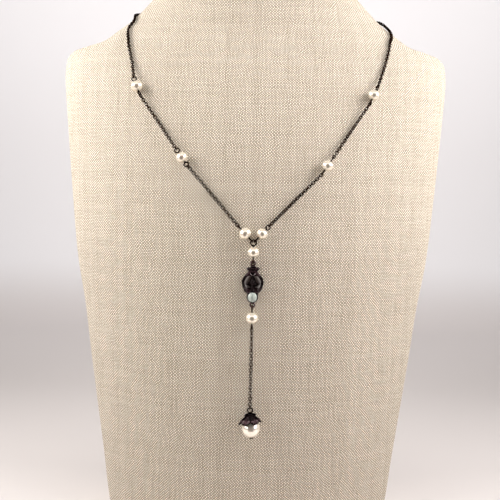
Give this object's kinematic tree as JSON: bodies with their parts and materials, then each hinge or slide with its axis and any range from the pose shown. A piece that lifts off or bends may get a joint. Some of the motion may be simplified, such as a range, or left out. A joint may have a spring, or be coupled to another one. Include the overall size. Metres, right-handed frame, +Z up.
{
  "type": "lavaliere necklace on a neck bust",
  "caption": "Cable-chain necklace with pearls on eye pins, a cast medallion with a cabochon and a capped pearl drop, held on a plain linen neck bust.",
  "frame": {"origin": "bottom centre of the bounding box, where the bust stands on its flat base", "axes": "+Z up, front of the bust and necklace towards -Y, +X to the viewer's right from the front"},
  "size_m": [0.2364, 0.138, 0.35],
  "materials": {
    "linen": "plain-woven beige linen stretched over the form",
    "chain_metal": "dark antique bronze plating, worn brighter on the edges",
    "pin_metal": "dark gunmetal plating, glossy",
    "cast_metal": "dark antiqued casting with soft satin highs",
    "pearl": "cream pearl lustre",
    "drop_pearl": "cream pearl lustre with a pinkish cast",
    "cabochon": "pale grey-green polished stone"
  },
  "bodies": {
    "root": {"neck_bust": "linen", "chain_left_top": "chain_metal", "chain_left_upper": "chain_metal", "chain_left_lower": "chain_metal", "chain_right_top": "chain_metal", "chain_right_upper": "chain_metal", "chain_right_lower": "chain_metal", "chain_drop": "chain_metal", "chain_back_left": "chain_metal", "chain_back_right": "chain_metal", "clasp": "chain_metal", "pearl_left_upper": "pearl", "pearl_left_lower": "pearl", "pearl_left_centre": "pearl", "pearl_right_upper": "pearl", "pearl_right_lower": "pearl", "pearl_right_centre": "pearl", "pearl_over_medallion": "pearl", "pearl_under_medallion": "pearl", "eyepin_left_upper": "pin_metal", "eyepin_left_lower": "pin_metal", "eyepin_left_centre": "pin_metal", "eyepin_right_upper": "pin_metal", "eyepin_right_lower": "pin_metal", "eyepin_right_centre": "pin_metal", "eyepin_over_medallion": "pin_metal", "eyepin_under_medallion": "pin_metal", "medallion": "cast_metal", "medallion_stone": "cabochon", "drop_cap": "cast_metal", "drop_pearl": "drop_pearl", "drop_pin": "pin_metal"}
  },
  "joints": []
}
